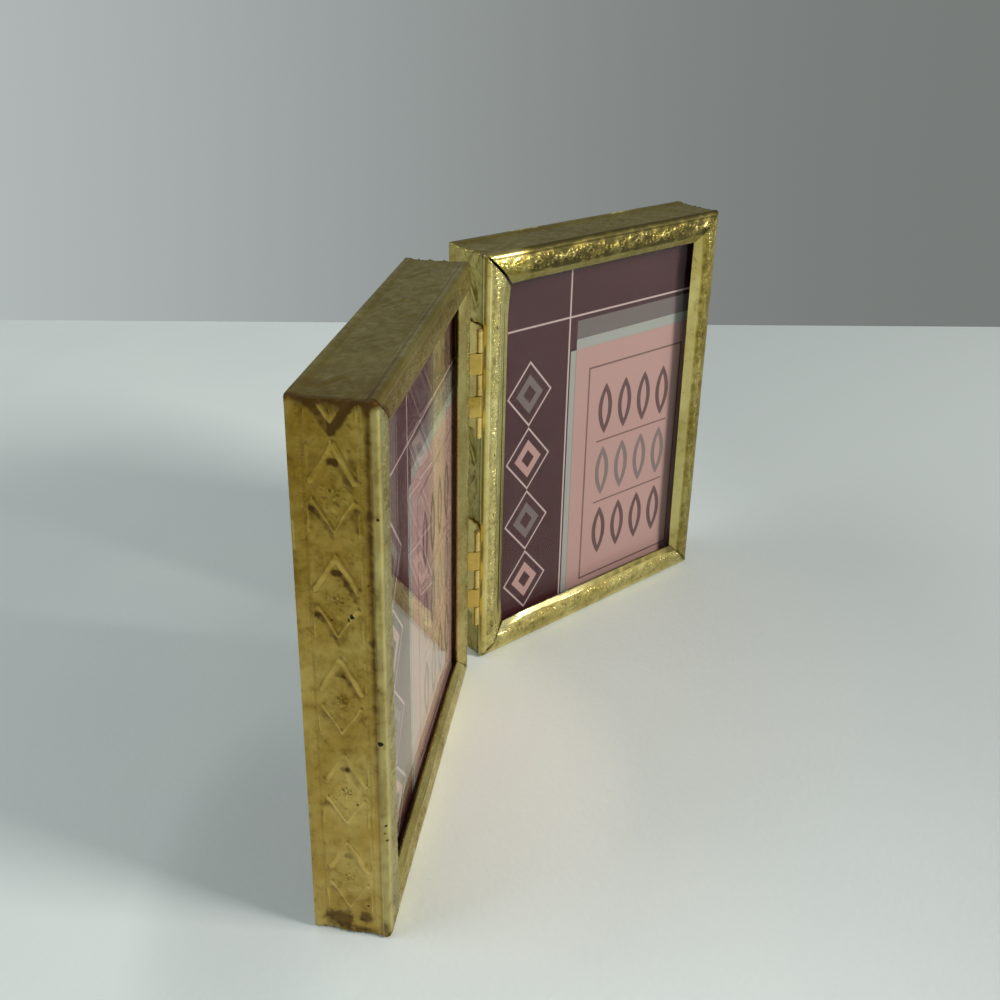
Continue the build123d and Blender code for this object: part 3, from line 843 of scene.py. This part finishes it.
def brass(name, light, deep, tarnish, rough=0.30, rim=False, lip_phase=0.0):
    """Aged lacquered brass: colour drifts, brown tarnish in hollows, dark flecks, fine grain and scratches, with
    painted shade on faces that look up and in the rim's tarnish and browning.
    """
    n = Net(name)
    mm = n.coords()
    broad = n.noise(mm, 0.09, 3.0, 0.6)
    mid = n.noise(mm, 0.55, 4.0, 0.62, 0.4)
    fine = n.noise(mm, 5.0, 3.0, 0.6)
    colour = n.mix(n.ramp(broad, 0.35, 0.68), light, deep)
    colour = n.mix(n.mul(n.ramp(mid, 0.45, 0.75), 0.35), colour, deep)
    patch = n.mul(n.ramp(mid, 0.52, 0.74), n.ramp(broad, 0.42, 0.62))
    # dust and dull lacquer on faces that look up, and painted shade: these faces are darkened for the dim room they
    # mirror
    geo = n.node("ShaderNodeNewGeometry")
    _, _, nz = n.split(geo.outputs["Normal"])
    dust_and_top_shade = n.mul(n.ramp(nz, 0.75, 0.97), n.ramp(mid, 0.25, 0.6, 0.45, 0.8))
    height = n.mul(mid, 0.03)
    if rim:
        relief, dirt_and_shade = n.attr("relief"), n.attr("dirt_and_shade")
        s_, t_, u_ = n.attr("strip_s"), n.attr("strip_t"), n.attr("lip_u")
        # fine ornament of the lip: dashed lozenges and dots
        half = LIP_PITCH / 2
        tri = n.math("PINGPONG", n.add(s_, LIP_PITCH * 3 - lip_phase), half)
        aw = n.math("ABSOLUTE", n.sub(u_, 3.0))
        d = n.math("ABSOLUTE", n.sub(n.add(n.mul(tri, 1 / half), n.mul(aw, 1 / 1.35)), 1.0))
        dash = n.ramp(n.math("COSINE", n.mul(s_, 2 * math.pi / 0.95)), -0.3, 0.5)
        lines = n.mul(n.ramp(d, 0.20, 0.06), dash)
        dots = n.mul(n.math("COSINE", n.mul(n.add(s_, n.mul(u_, 0.9)), 2 * math.pi / 0.74)), n.math("COSINE", n.mul(n.sub(u_, n.mul(s_, 0.35)), 2 * math.pi / 0.66)))
        dots = n.mul(n.ramp(dots, 0.25, 0.75), n.ramp(n.noise(mm, 0.45, 2.0), 0.40, 0.56))
        band = n.mul(n.ramp(u_, 1.2, 1.6), n.ramp(u_, 4.75, 4.5))
        stipple = n.mul(n.math("MAXIMUM", lines, n.mul(dots, 0.8)), band)
        # beads along both edges of the wall's band
        w_ = n.math("ABSOLUTE", n.sub(t_, BAND_MID))
        beads = n.mul(n.ramp(n.math("COSINE", n.mul(s_, 2 * math.pi / 0.42)), -0.2, 0.6), n.ramp(n.math("ABSOLUTE", n.sub(w_, 3.86)), 0.22, 0.08))
        thread = n.mul(n.ramp(n.math("ABSOLUTE", n.sub(w_, 4.5)), 0.14, 0.05), n.ramp(n.math("COSINE", n.mul(s_, 2 * math.pi / 0.60)), -0.4, 0.4))
        off_lip = n.ramp(u_, 0.5, 0.2)
        detail = n.mul(n.add(beads, n.mul(thread, 0.5)), off_lip)
        height = n.add(height, n.add(n.mul(stipple, 0.038), n.mul(detail, 0.05)))
        hollow = n.ramp(relief, 0.0, -0.6)
        crest = n.ramp(relief, 0.45, 0.95)
        pits = n.mul(n.mul(band, n.ramp(stipple, 0.55, 0.1)), n.ramp(mid, 0.35, 0.7))
        stain_and_shade = n.math("ADD", n.mul(hollow, 0.40), n.mul(patch, 0.38))
        stain_and_shade = n.math("ADD", stain_and_shade, n.mul(pits, 0.44))
        stain_and_shade = n.math("ADD", stain_and_shade, n.ramp(dirt_and_shade, 0.05, 1.05), clamp=True)
        speck = n.ramp(dirt_and_shade, 1.25, 1.6)
        colour = n.mix(n.mul(crest, 0.75), colour, tuple(min(1.0, c * 1.3) for c in light))
        # browned lacquer, with painted shade in the same attribute
        age = n.mul(n.attr("age"), n.ramp(mid, 0.25, 0.75, 0.8, 1.15))
        aged_and_shaded = n.node("ShaderNodeMix", data_type="RGBA", blend_type="MULTIPLY")
        n.put(aged_and_shaded.inputs[0], age)
        n.put(aged_and_shaded.inputs[6], colour)
        aged_and_shaded.inputs[7].default_value = (0.46, 0.42, 0.235, 1.0)
        colour = aged_and_shaded.outputs[2]
        film = n.attr("film")
        warm = n.node("ShaderNodeMix", data_type="RGBA", blend_type="MULTIPLY")
        n.put(warm.inputs[0], n.mul(n.ramp(film, 0.0, -1.0), n.ramp(broad, 0.3, 0.7, 0.6, 1.0)))
        n.put(warm.inputs[6], colour)
        warm.inputs[7].default_value = (0.97, 0.79, 0.55, 1.0)
        colour = warm.outputs[2]
        film = n.clip(film)
        colour = n.mix(n.mul(film, n.ramp(fine, 0.35, 0.65, 0.5, 1.0)), colour, (0.30, 0.29, 0.19))
        # the lip keeps more shine than the wall, and the plain bevel the most
        base_rough = n.ramp(u_, 0.2, 1.2, rough + 0.06, rough - 0.06)
        base_rough = n.add(base_rough, n.ramp(u_, 4.86, 4.95, 0.0, -0.05))
        base_rough = n.add(base_rough, n.mul(film, 0.16))
        base_rough = n.add(base_rough, n.mul(n.mul(age, n.ramp(u_, 0.1, 0.5)), 0.13))
    else:
        stain_and_shade = n.clip(n.mul(patch, 0.45))
        speck = None
        base_rough = rough
    flecks = n.ramp(n.voronoi(mm, 0.42), 0.085, 0.05)
    flecks = n.mul(flecks, n.ramp(n.noise(mm, 0.2, 2.0), 0.5, 0.62))
    brown = n.mul(n.ramp(n.noise(mm, 1.5, 4.0, 0.7, 0.8), 0.60, 0.70), n.ramp(nz, 0.75, 0.97))
    stain_and_shade = n.math("MAXIMUM", stain_and_shade, n.mul(n.math("MAXIMUM", flecks, n.mul(brown, 0.7)), 0.75))
    # tarnish, with the rim's painted shade mixed in the same colour
    colour = n.mix(stain_and_shade, colour, tarnish)
    # painted shade and dust: faces that look up mixed towards dark olive brown
    colour = n.mix(n.mul(dust_and_top_shade, 0.60), colour, (0.098, 0.071, 0.022))
    if speck is not None:
        colour = n.mix(speck, colour, (0.004, 0.003, 0.002))
    metal = n.mul(n.ramp(stain_and_shade, 0.0, 1.0, 1.0, 0.78), n.ramp(dust_and_top_shade, 0.0, 1.0, 1.0, 0.76))
    if speck is not None:
        metal = n.mul(metal, n.math("SUBTRACT", 1.0, speck, clamp=True))
    r = n.add(n.add(base_rough, n.ramp(mid, 0.3, 0.75, -0.04, 0.08)), n.mul(stain_and_shade, 0.18))
    r = n.add(r, n.mul(dust_and_top_shade, 0.10))
    # hair scratches, two directions
    sx = n.noise(n.coords((0.35, 0.35, 7.0)), 1.0, 2.0, 0.5, 0.3)
    sy = n.noise(n.coords((6.0, 1.0, 0.4)), 1.0, 2.0, 0.5, 0.3)
    hair = n.add(n.ramp(sx, 0.62, 0.70), n.ramp(sy, 0.64, 0.72))
    height = n.add(height, n.add(n.mul(fine, 0.010), n.mul(hair, -0.0018)))
    shader = n.node("ShaderNodeBsdfPrincipled")
    n.put(shader.inputs["Base Color"], colour)
    n.put(shader.inputs["Metallic"], metal)
    n.put(shader.inputs["Roughness"], r)
    shader.inputs["Specular IOR Level"].default_value = 0.18
    n.put(shader.inputs["Normal"], n.bump(n.mul(height, MM), 1.0, 1.0))
    return n.finish(shader.outputs[0])


def glass_material():
    n = Net("clear_glass")
    mm = n.coords()
    g = n.node("ShaderNodeBsdfGlass")
    g.inputs["IOR"].default_value = 1.24
    g.inputs["Color"].default_value = (0.96, 0.985, 0.965, 1)
    smear = n.ramp(n.noise(mm, 0.12, 4.0, 0.65, 0.8), 0.45, 0.75, 0.0, 0.05)
    n.put(g.inputs["Roughness"], smear)
    clear = n.node("ShaderNodeBsdfTransparent")
    clear.inputs["Color"].default_value = (0.93, 0.95, 0.94, 1)
    path = n.node("ShaderNodeLightPath")
    f = n.math("MAXIMUM", path.outputs["Is Shadow Ray"], path.outputs["Is Diffuse Ray"])
    m = n.node("ShaderNodeMixShader")
    n.put(m.inputs[0], f)
    n.tree.links.new(g.outputs[0], m.inputs[1])
    n.tree.links.new(clear.outputs[0], m.inputs[2])
    return n.finish(m.outputs[0])


def card_material():
    """A plain geometric print: plum band and column, a pink panel, stripes and a stack of lozenges."""
    n = Net("printed_card")
    x, y = n.attr("card_x"), n.attr("card_y")
    plum, pink = (0.052, 0.0105, 0.0150), (0.49, 0.265, 0.252)
    taupe, pale = (0.165, 0.120, 0.122), (0.36, 0.335, 0.315)
    line = (0.56, 0.40, 0.40)

    def band(v, lo, hi, soft=0.06):
        return n.mul(n.ramp(v, lo - soft, lo + soft), n.ramp(v, hi + soft, hi - soft))

    colour = n.mix(n.mul(n.ramp(x, 25.94, 26.06), n.ramp(y, 64.06, 63.94)), plum, pink)
    colour = n.mix(n.mul(band(y, 64.0, 66.4), n.ramp(x, 25.94, 26.06)), colour, pale)
    colour = n.mix(n.mul(band(y, 66.4, 70.6), n.ramp(x, 25.94, 26.06)), colour, taupe)
    # fine pale rules
    colour = n.mix(n.mul(band(y, 71.6, 72.0), n.ramp(x, 6.9, 7.0)), colour, line)
    colour = n.mix(band(x, 23.6, 24.0), colour, line)
    # a chain of lozenges up the plum column
    for i, cy in enumerate((12.0, 27.0, 42.0, 57.0)):
        q = n.add(n.math("DIVIDE", n.math("ABSOLUTE", n.sub(x, 13.2)), 6.0), n.math("DIVIDE", n.math("ABSOLUTE", n.sub(y, cy)), 7.4))
        colour = n.mix(n.ramp(q, 1.02, 0.99), colour, line)
        colour = n.mix(n.ramp(q, 0.94, 0.91), colour, plum)
        colour = n.mix(n.ramp(q, 0.62, 0.59), colour, taupe if i % 2 else pink)
        colour = n.mix(n.ramp(q, 0.30, 0.27), colour, plum)
    # pale strip beside the column
    colour = n.mix(n.mul(band(x, 24.4, 25.94), n.ramp(y, 64.06, 63.94)), colour, pale)
    # in the pink panel: a plum frame line, and a field of upright leaves between two rules
    inner = n.mul(band(x, 30.0, 59.4), band(y, 5.4, 59.0))
    hole = n.mul(band(x, 30.45, 58.95), band(y, 5.85, 58.55))
    colour = n.mix(n.mul(n.sub(inner, hole), 0.7), colour, plum)
    for cy, tall, tone_ in ((48.0, 6.2, plum), (32.4, 6.2, taupe), (16.8, 6.2, plum)):
        for cx in (35.6, 41.65, 47.7, 53.75):
            dx = n.math("ABSOLUTE", n.sub(x, cx))
            dy = n.math("DIVIDE", n.math("ABSOLUTE", n.sub(y, cy)), tall)
            q = n.add(n.math("DIVIDE", dx, 2.1), n.mul(dy, dy))
            colour = n.mix(n.mul(n.ramp(q, 1.03, 0.97), 0.85), colour, tone_)
            colour = n.mix(n.ramp(n.add(n.math("DIVIDE", dx, 0.9), n.mul(dy, n.mul(dy, 2.2))), 1.06, 0.94), colour, pink)
    for cy in (24.6, 40.2):
        colour = n.mix(n.mul(n.mul(band(x, 33.4, 55.9), band(y, cy - 0.2, cy + 0.2)), 0.7), colour, plum)
    mm = n.coords()
    grain = n.noise(mm, 5.0, 3.0, 0.6)
    tone = n.noise(mm, 0.06, 3.0, 0.6)
    worn = n.node("ShaderNodeMix", data_type="RGBA", blend_type="MULTIPLY")
    n.put(worn.inputs[0], n.mul(n.ramp(n.noise(mm, 2.2, 3.0, 0.6), 0.35, 0.7), 0.05))
    n.put(worn.inputs[6], colour)
    worn.inputs[7].default_value = (0.70, 0.68, 0.66, 1.0)
    colour = worn.outputs[2]
    colour = n.mix(n.mul(n.ramp(tone, 0.4, 0.75), 0.03), colour, srgb(96, 70, 66))
    shader = n.node("ShaderNodeBsdfPrincipled")
    n.put(shader.inputs["Base Color"], colour)
    n.put(shader.inputs["Roughness"], n.ramp(grain, 0.3, 0.7, 0.66, 0.78))
    shader.inputs["Specular IOR Level"].default_value = 0.12
    n.put(shader.inputs["Normal"], n.bump(n.mul(grain, 0.0012 * MM), 1.0, 1.0))
    return n.finish(shader.outputs[0])


def board_material(name, base, dark, scale):
    n = Net(name)
    mm = n.coords()
    fibre = n.noise(n.coords((1.0, 1.0, 4.0)), scale, 4.0, 0.65, 0.6)
    fleck = n.ramp(n.voronoi(mm, 1.1), 0.16, 0.05)
    colour = n.mix(n.ramp(fibre, 0.3, 0.75), base, dark)
    colour = n.mix(n.mul(fleck, 0.35), colour, tuple(c * 0.45 for c in dark))
    shader = n.node("ShaderNodeBsdfPrincipled")
    n.put(shader.inputs["Base Color"], colour)
    n.put(shader.inputs["Roughness"], n.ramp(fibre, 0.3, 0.7, 0.82, 0.95))
    n.put(shader.inputs["Normal"], n.bump(n.mul(fibre, 0.06 * MM), 1.0, 1.0))
    return n.finish(shader.outputs[0])


def flock_material():
    n = Net("flocked_paper")
    mm = n.coords()
    nap = n.noise(mm, 9.0, 3.0, 0.7)
    lay = n.noise(mm, 0.11, 4.0, 0.65, 1.1)
    rub = n.ramp(n.noise(mm, 0.35, 5.0, 0.7, 0.5), 0.58, 0.78)
    colour = n.mix(n.ramp(lay, 0.35, 0.7), srgb(46, 33, 38), srgb(66, 50, 54))
    colour = n.mix(n.mul(rub, 0.5), colour, srgb(104, 88, 84))
    colour = n.mix(n.mul(n.ramp(nap, 0.55, 0.8), 0.35), colour, srgb(96, 80, 84))
    shader = n.node("ShaderNodeBsdfPrincipled")
    n.put(shader.inputs["Base Color"], colour)
    shader.inputs["Roughness"].default_value = 0.95
    shader.inputs["Specular IOR Level"].default_value = 0.15
    shader.inputs["Sheen Weight"].default_value = 0.35
    shader.inputs["Sheen Roughness"].default_value = 0.5
    n.put(shader.inputs["Normal"], n.bump(n.mul(n.add(nap, n.mul(lay, 2.0)), 0.05 * MM), 1.0, 1.0))
    return n.finish(shader.outputs[0])


rim_brass = {side: brass(f"embossed_brass_{side}", (0.78, 0.68, 0.29), (0.58, 0.475, 0.155), tarnish, 0.28, True, LIP_PHASE[side])
             for side, tarnish in (("right", (0.074, 0.060, 0.017)), ("left", (0.100, 0.050, 0.010)))}
hinge_brass = {
    "right": brass("hinge_brass_right", (0.78, 0.62, 0.22), (0.60, 0.44, 0.13), (0.09, 0.05, 0.018), 0.27),
    "left": brass("hinge_brass_left", (0.66, 0.47, 0.12), (0.48, 0.32, 0.06), (0.07, 0.036, 0.010), 0.30),
}
pin_brass = brass("hinge_pin", (0.60, 0.47, 0.18), (0.42, 0.31, 0.10), (0.08, 0.05, 0.02), 0.36)
rivet_brass = brass("rivet_brass", (0.62, 0.49, 0.19), (0.45, 0.34, 0.11), (0.08, 0.05, 0.02), 0.38)
glass_mat = glass_material()
card_mat = card_material()
pad_mat = board_material("grey_card", srgb(150, 143, 132), srgb(112, 104, 94), 0.9)
back_mat = board_material("back_card", srgb(118, 100, 82), srgb(84, 68, 54), 0.7)
flock_mat = flock_material()

# ---------------------------------------------------------------- camera and lights
cam = bpy.data.objects.new("camera", bpy.data.cameras.new("camera"))
bpy.context.scene.collection.objects.link(cam)
bpy.context.scene.camera = cam
CAM_POS = (-155.17, -86.708, 141.12)
CAM_YAW, CAM_PITCH, CAM_ROLL = math.radians(58.18), math.radians(20.59), math.radians(0.40)
CAM_F, CAM_CX, CAM_CY = 1009.5, 463.8, 347.9
fwd = Vector((math.sin(CAM_YAW) * math.cos(CAM_PITCH), math.cos(CAM_YAW) * math.cos(CAM_PITCH), -math.sin(CAM_PITCH)))
right0 = Vector((math.cos(CAM_YAW), -math.sin(CAM_YAW), 0))
up0 = right0.cross(fwd)
right = math.cos(CAM_ROLL) * right0 + math.sin(CAM_ROLL) * up0
up = -math.sin(CAM_ROLL) * right0 + math.cos(CAM_ROLL) * up0
m = Matrix((right, up, -fwd)).transposed().to_4x4()
m.translation = Vector(CAM_POS) * MM
cam.matrix_world = m
cam.data.sensor_width = 36.0
cam.data.lens = CAM_F / 1000 * 36.0
cam.data.shift_x = (500 - CAM_CX) / 1000
cam.data.shift_y = (CAM_CY - 500) / 1000
cam.data.clip_start, cam.data.clip_end = 0.005, 20
cam.data.dof.use_dof = False


def area(name, direction, distance, size, power, colour=(1, 1, 1), target=(0, 0, 0.04)):
    d = Vector(direction).normalized()
    light = bpy.data.lights.new(name, "AREA")
    light.shape = "RECTANGLE"
    light.size, light.size_y = size
    light.energy = power
    light.color = colour
    o = bpy.data.objects.new(name, light)
    bpy.context.scene.collection.objects.link(o)
    o.location = Vector(target) + d * distance
    o.rotation_mode = "QUATERNION"
    o.rotation_quaternion = d.to_track_quat("Z", "Y")
    return o


area("window_light", (0.22, -0.87, 0.44), 0.85, (0.24, 0.20), 6.55, (1.0, 0.985, 0.95))
area("sky_light", (-0.50, 0.55, 0.67), 0.95, (0.55, 0.55), 2.2, (0.93, 0.97, 1.0))

world = bpy.data.worlds.new("studio")
bpy.context.scene.world = world
world.use_nodes = True
sky = world.node_tree
where = sky.nodes.new("ShaderNodeTexCoord")
dot = sky.nodes.new("ShaderNodeVectorMath")
dot.operation = "DOT_PRODUCT"
sky.links.new(where.outputs["Generated"], dot.inputs[0])
dot.inputs[1].default_value = (-0.527, 0.850, 0.0)
fade = sky.nodes.new("ShaderNodeMapRange")
fade.interpolation_type = "SMOOTHSTEP"
fade.inputs["From Min"].default_value, fade.inputs["From Max"].default_value = -0.45, 0.85
sky.links.new(dot.outputs["Value"], fade.inputs["Value"])
blend = sky.nodes.new("ShaderNodeMix")
blend.data_type = "RGBA"
sky.links.new(fade.outputs["Result"], blend.inputs[0])
blend.inputs[6].default_value = (0.185, 0.200, 0.192, 1)
blend.inputs[7].default_value = (0.52, 0.565, 0.565, 1)
sky.links.new(blend.outputs[2], sky.nodes["Background"].inputs[0])
sky.nodes["Background"].inputs[1].default_value = 1.0
bpy.context.scene.view_settings.view_transform = "Standard"

# ---------------------------------------------------------------- floor
away = np.array([math.sin(CAM_YAW), math.cos(CAM_YAW), 0.0])
aside = np.array([math.cos(CAM_YAW), -math.sin(CAM_YAW), 0.0])
ring = [away * a + aside * b for a, b in ((0.228, -0.9), (-1.2, -0.9), (-1.2, 0.9), (0.228, 0.9))]
floor = bpy.data.objects.new("floor", mesh_from("floor", ring, [(0, 1, 2, 3)]))
bpy.context.scene.collection.objects.link(floor)
floor.location.z = -0.00002
f = Net("floor_white")
mmf = f.coords()
tone = f.noise(mmf, 0.02, 3.0, 0.5)


def along_dir(v):
    n = f.node("ShaderNodeVectorMath", {0: mmf}, operation="DOT_PRODUCT")
    n.inputs[1].default_value = tuple(float(c) for c in v)
    return n.outputs["Value"]


# painted light on the table: paler round the frame, greyer to one side, and a darker patch by the left leaf's foot
fa, fb = along_dir(away), along_dir(aside)
col = f.mix(f.ramp(tone, 0.3, 0.7), (0.735, 0.785, 0.765), (0.765, 0.805, 0.78))
# painted shade: the table greyer to one side, for the fall-off of the light
col = f.mix(f.ramp(f.add(fb, f.mul(fa, 0.25)), 5.0, 115.0), col, (0.52, 0.555, 0.545))
# painted light: a paler pool in front of the frame, for light thrown back by the brass and glass
near = f.math("ADD", f.math("POWER", f.mul(f.add(fa, 30.0), 1 / 34.0), 2.0), f.math("POWER", f.mul(f.add(fb, 2.0), 1 / 24.0), 2.0))
col = f.mix(f.ramp(near, 1.6, 0.0, 0.0, 0.66), col, (0.95, 0.955, 0.90))
# painted shadow by the left leaf's foot
foot = f.math("ADD", f.math("POWER", f.mul(f.add(fa, 52.0), 1 / 34.0), 2.0), f.math("POWER", f.mul(f.add(fb, 42.0), 1 / 15.0), 2.0))
col = f.mix(f.ramp(foot, 1.8, 0.0, 0.0, 0.38), col, (0.46, 0.48, 0.47))
sh = f.node("ShaderNodeBsdfPrincipled")
f.put(sh.inputs["Base Color"], col)
sh.inputs["Roughness"].default_value = 0.55
sh.inputs["Specular IOR Level"].default_value = 0.35
f.put(sh.inputs["Normal"], f.bump(f.mul(f.noise(mmf, 0.8, 3.0, 0.5), 0.05 * MM), 1.0, 1.0))
floor.data.materials.append(f.finish(sh.outputs[0]))

# ---------------------------------------------------------------- the two leaves
for side in ("right", "left"):
    body = f"{side}_leaf"
    mesh, _ = build_rim(side)
    mesh.materials.append(rim_brass[side])
    rim = fit_piece(f"{side}_embossed_rim", mesh, body, (f"{side}_frame_rim",))

    # glass: a slab with small ground edges
    gw, gh, gt = GLASS
    x0, y0 = (LEAF_W - gw) / 2, (LEAF_H - gh) / 2
    c = 0.12
    vs = []
    for depth, ins in ((SEAT_D, c), (SEAT_D + c, 0), (SEAT_D + gt - c, 0), (SEAT_D + gt, c)):
        for x, y in ((x0 + ins, y0 + ins), (x0 + gw - ins, y0 + ins), (x0 + gw - ins, y0 + gh - ins), (x0 + ins, y0 + gh - ins)):
            vs.append(to_row(side, x, y, -depth - (0.0 if depth < SEAT_D + 1 else 0.0)))
    fs = [(0, 1, 2, 3), (15, 14, 13, 12)]
    for r in range(3):
        for q in range(4):
            fs.append((4 * r + q, 4 * (r + 1) + q, 4 * (r + 1) + (q + 1) % 4, 4 * r + (q + 1) % 4))
    pane_mesh = mesh_from(f"{side}_pane", vs, fs)
    pane_mesh.materials.append(glass_mat)
    pane = fit_piece(f"{side}_glass", pane_mesh, body, (f"{side}_glass_pane",))

    # print, with a slight bow and cut edges
    cw, ch, ct = CARD
    x0, y0 = (LEAF_W - cw) / 2, (LEAF_H - ch) / 2
    nx, ny = 24, 34
    vs, cx, cy = [], [], []
    for lay in (0, 1):
        for j in range(ny + 1):
            for i in range(nx + 1):
                fx, fy = i / nx, j / ny
                bow = 0.03 * math.sin(math.pi * fx) * math.sin(math.pi * fy)
                vs.append(to_row(side, x0 + cw * fx, y0 + ch * fy, -(SEAT_D + gt + 0.03) - (ct - 0.06) * lay - bow * (1 - lay)))
                cx.append(cw * fx)
                cy.append(ch * fy)
    fs = []
    st = (nx + 1) * (ny + 1)
    for j in range(ny):
        for i in range(nx):
            a = j * (nx + 1) + i
            fs.append((a, a + 1, a + nx + 2, a + nx + 1))
            fs.append((st + a, st + a + nx + 1, st + a + nx + 2, st + a + 1))
    edge = [i for i in range(nx)] + [nx + j * (nx + 1) for j in range(ny)]
    loop = [(0, i) for i in range(nx)] + [(j, nx) for j in range(ny)] + [(ny, i) for i in range(nx, 0, -1)] + [(j, 0) for j in range(ny, 0, -1)]
    ids = [j * (nx + 1) + i for j, i in loop]
    for a, b in zip(ids, ids[1:] + ids[:1]):
        fs.append((b, a, st + a, st + b))
    card_mesh = mesh_from(f"{side}_card", vs, fs)
    for name, data in (("card_x", cx), ("card_y", cy)):
        layer = card_mesh.attributes.new(name, "FLOAT", "POINT")
        layer.data.foreach_set("value", np.array(data, np.float32))
    card_mesh.materials.append(card_mat)
    fit_piece(f"{side}_print", card_mesh, body, (f"{side}_photo_insert",))


def dress(node, material):
    o = frame["nodes"][node]
    o.data.materials.clear()
    o.data.materials.append(material)


for side in ("right", "left"):
    dress(f"{side}_filler_pad", pad_mat)
    dress(f"{side}_back_board", back_mat)
    dress(f"{side}_back_facing", flock_mat)
    dress(f"{side}_hinge_rivets", rivet_brass)
    for place in ("upper", "lower"):
        dress(f"{place}_hinge_{side}_leaf", hinge_brass[side])
for place in ("upper", "lower"):
    dress(f"{place}_hinge_pin", pin_brass)
